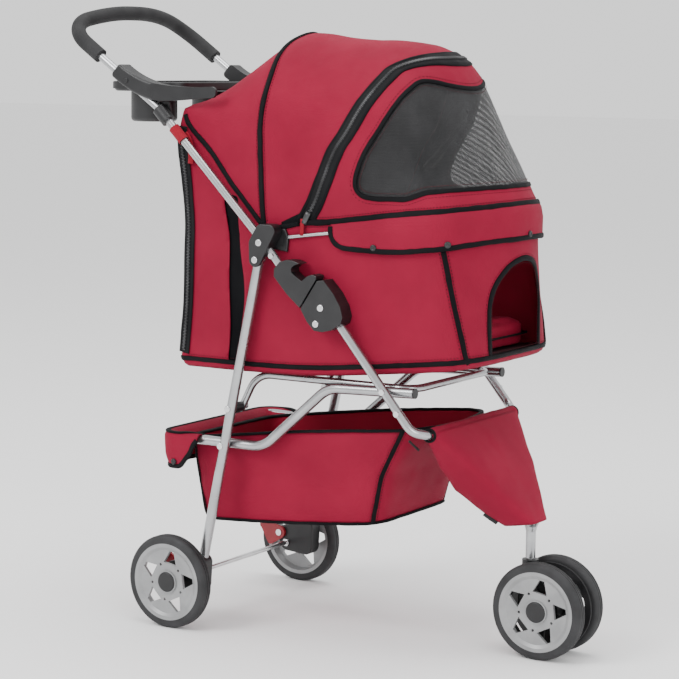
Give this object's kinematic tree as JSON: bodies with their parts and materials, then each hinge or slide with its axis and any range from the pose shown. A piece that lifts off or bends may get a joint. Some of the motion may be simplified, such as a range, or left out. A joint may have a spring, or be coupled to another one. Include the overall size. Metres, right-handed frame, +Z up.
{
  "type": "pet stroller",
  "caption": "Folding three-point pet stroller with a zipped cloth cabin, mesh window, cup tray, storage basket and twin front caster.",
  "frame": {"origin": "on the floor under the middle of the overall box", "axes": "+X forward, towards the caster; +Y to the left; +Z up"},
  "size_m": [0.9003, 0.4144, 1.002],
  "materials": {
    "tube_silver": "silver powder coat, satin",
    "steel": "zinc-plated steel",
    "foam_black": "closed-cell foam",
    "plastic_black": "moulded black plastic, fine grain",
    "rim_grey": "light grey moulded plastic, satin",
    "tyre_black": "soft EVA tyre",
    "plastic_red": "moulded red plastic",
    "cloth_red": "woven red polyester with dark piping",
    "webbing_red": "red webbing",
    "mesh_black": "black open mesh",
    "pad_red": "quilted red polyester",
    "board_black": "stiff floor board"
  },
  "bodies": {
    "rear_frame": {"rear_leg_right": "tube_silver", "rear_leg_left": "tube_silver", "brake_housing_right": "plastic_black", "brake_housing_left": "plastic_black", "rear_axle": "steel", "brake_fasteners": "steel", "rear_leg_rivets": "steel", "pivot_spacers": "plastic_black"},
    "rear_wheel_right": {"rear_tyre_right": "tyre_black", "rear_rim_right": "rim_grey", "rear_hub_cap_right": "plastic_black"},
    "rear_wheel_left": {"rear_tyre_left": "tyre_black", "rear_rim_left": "rim_grey", "rear_hub_cap_left": "plastic_black"},
    "brake_right": {"brake_pedal_right": "plastic_red"},
    "brake_left": {"brake_pedal_left": "plastic_red"},
    "handle_frame": {"handle_tube": "tube_silver", "foam_grip": "foam_black", "tray": "plastic_black", "tray_clamp_right": "plastic_black", "tray_clamp_left": "plastic_black", "fold_bracket_right": "plastic_black", "fold_bracket_left": "plastic_black", "bracket_screws": "steel", "tray_screws": "steel", "strap_loops": "webbing_red"},
    "latch_right": {"latch_slider_right": "plastic_black"},
    "latch_left": {"latch_slider_left": "plastic_black"},
    "front_frame": {"front_leg_tube": "tube_silver", "stem_tube": "tube_silver", "caster_socket": "tube_silver", "apron": "cloth_red", "latch_housing_right": "plastic_black", "latch_housing_left": "plastic_black", "latch_screws": "steel", "front_leg_rivets": "steel"},
    "caster": {"caster_pin": "steel", "caster_housing": "plastic_black", "front_axle": "steel"},
    "front_wheel_right": {"front_tyre_right": "tyre_black", "front_rim_right": "rim_grey", "front_hub_cap_right": "plastic_black"},
    "front_wheel_left": {"front_tyre_left": "tyre_black", "front_rim_left": "rim_grey", "front_hub_cap_left": "plastic_black"},
    "basket_frame": {"basket_tube": "tube_silver", "tube_plugs": "plastic_black", "storage_basket": "cloth_red"},
    "cabin": {"seat_support_tube": "tube_silver", "carrier_body": "cloth_red", "canopy_hood": "cloth_red", "floor_board": "board_black", "seat_pad": "pad_red", "rim_rods": "tube_silver", "rod_sockets": "plastic_black"},
    "window": {"window_flap": "mesh_black"},
    "back_panel": {"rear_door": "cloth_red"}
  },
  "joints": [
    {"name": "handle_fold", "type": "hinge", "parent": "rear_frame", "child": "handle_frame", "pos_m": [-0.0572, 0, 0.6044], "axis": [0, -1, 0], "range_deg": [0, 98.1], "deforming": ["carrier_body", "canopy_hood", "window_flap", "rear_door", "storage_basket", "seat_pad"]},
    {"name": "front_leg_fold", "type": "hinge", "parent": "handle_frame", "child": "front_frame", "pos_m": [0.0578, 0, 0.5121], "axis": [0, 1, 0], "range_deg": [0, 143.5]},
    {"name": "basket_fold", "type": "hinge", "parent": "rear_frame", "child": "basket_frame", "pos_m": [-0.1259, 0, 0.3014], "axis": [0, -1, 0], "range_deg": [0, 40.2]},
    {"name": "cabin_fold", "type": "hinge", "parent": "rear_frame", "child": "cabin", "pos_m": [-0.1115, 0, 0.3627], "axis": [0, -1, 0], "range_deg": [0, 40.2]},
    {"name": "window_open", "type": "hinge", "parent": "cabin", "child": "window", "pos_m": [0.326, 0, 0.694], "axis": [0, 1, 0], "range_deg": [0, 100], "deforming": ["window_flap"]},
    {"name": "rear_door_open", "type": "hinge", "parent": "cabin", "child": "back_panel", "pos_m": [-0.2141, 0, 0.4477], "axis": [0, -1, 0], "range_deg": [0, 100]},
    {"name": "caster_swivel", "type": "hinge", "parent": "front_frame", "child": "caster", "pos_m": [0.347, 0, 0.15], "axis": [0, 0, 1], "continuous": true},
    {"name": "rear_wheel_right_spin", "type": "hinge", "parent": "rear_frame", "child": "rear_wheel_right", "pos_m": [-0.205, -0.1945, 0.076], "axis": [0, 1, 0], "continuous": true},
    {"name": "front_wheel_right_spin", "type": "hinge", "parent": "caster", "child": "front_wheel_right", "pos_m": [0.379, -0.032, 0.076], "axis": [0, 1, 0], "continuous": true},
    {"name": "brake_right_press", "type": "hinge", "parent": "rear_frame", "child": "brake_right", "pos_m": [-0.218, -0.146, 0.093], "axis": [0, -1, 0], "range_deg": [0, 16]},
    {"name": "latch_right_slide", "type": "slide", "parent": "handle_frame", "child": "latch_right", "axis": [-0.6656, 0, 0.7463], "range_m": [0, 0.009], "stiffness_N_per_m": 800, "springref_m": -0.006},
    {"name": "rear_wheel_left_spin", "type": "hinge", "parent": "rear_frame", "child": "rear_wheel_left", "pos_m": [-0.205, 0.1945, 0.076], "axis": [0, 1, 0], "continuous": true},
    {"name": "front_wheel_left_spin", "type": "hinge", "parent": "caster", "child": "front_wheel_left", "pos_m": [0.379, 0.032, 0.076], "axis": [0, 1, 0], "continuous": true},
    {"name": "brake_left_press", "type": "hinge", "parent": "rear_frame", "child": "brake_left", "pos_m": [-0.218, 0.146, 0.093], "axis": [0, -1, 0], "range_deg": [0, 16]},
    {"name": "latch_left_slide", "type": "slide", "parent": "handle_frame", "child": "latch_left", "axis": [-0.6656, 0, 0.7463], "range_m": [0, 0.009], "stiffness_N_per_m": 800, "springref_m": -0.006}
  ],
  "couplings": [
    {"joint": "front_leg_fold", "follows": "handle_fold", "ratio": 1.4613},
    {"joint": "basket_fold", "follows": "handle_fold", "ratio": 0.4077},
    {"joint": "cabin_fold", "follows": "handle_fold", "ratio": 0.4077}
  ]
}
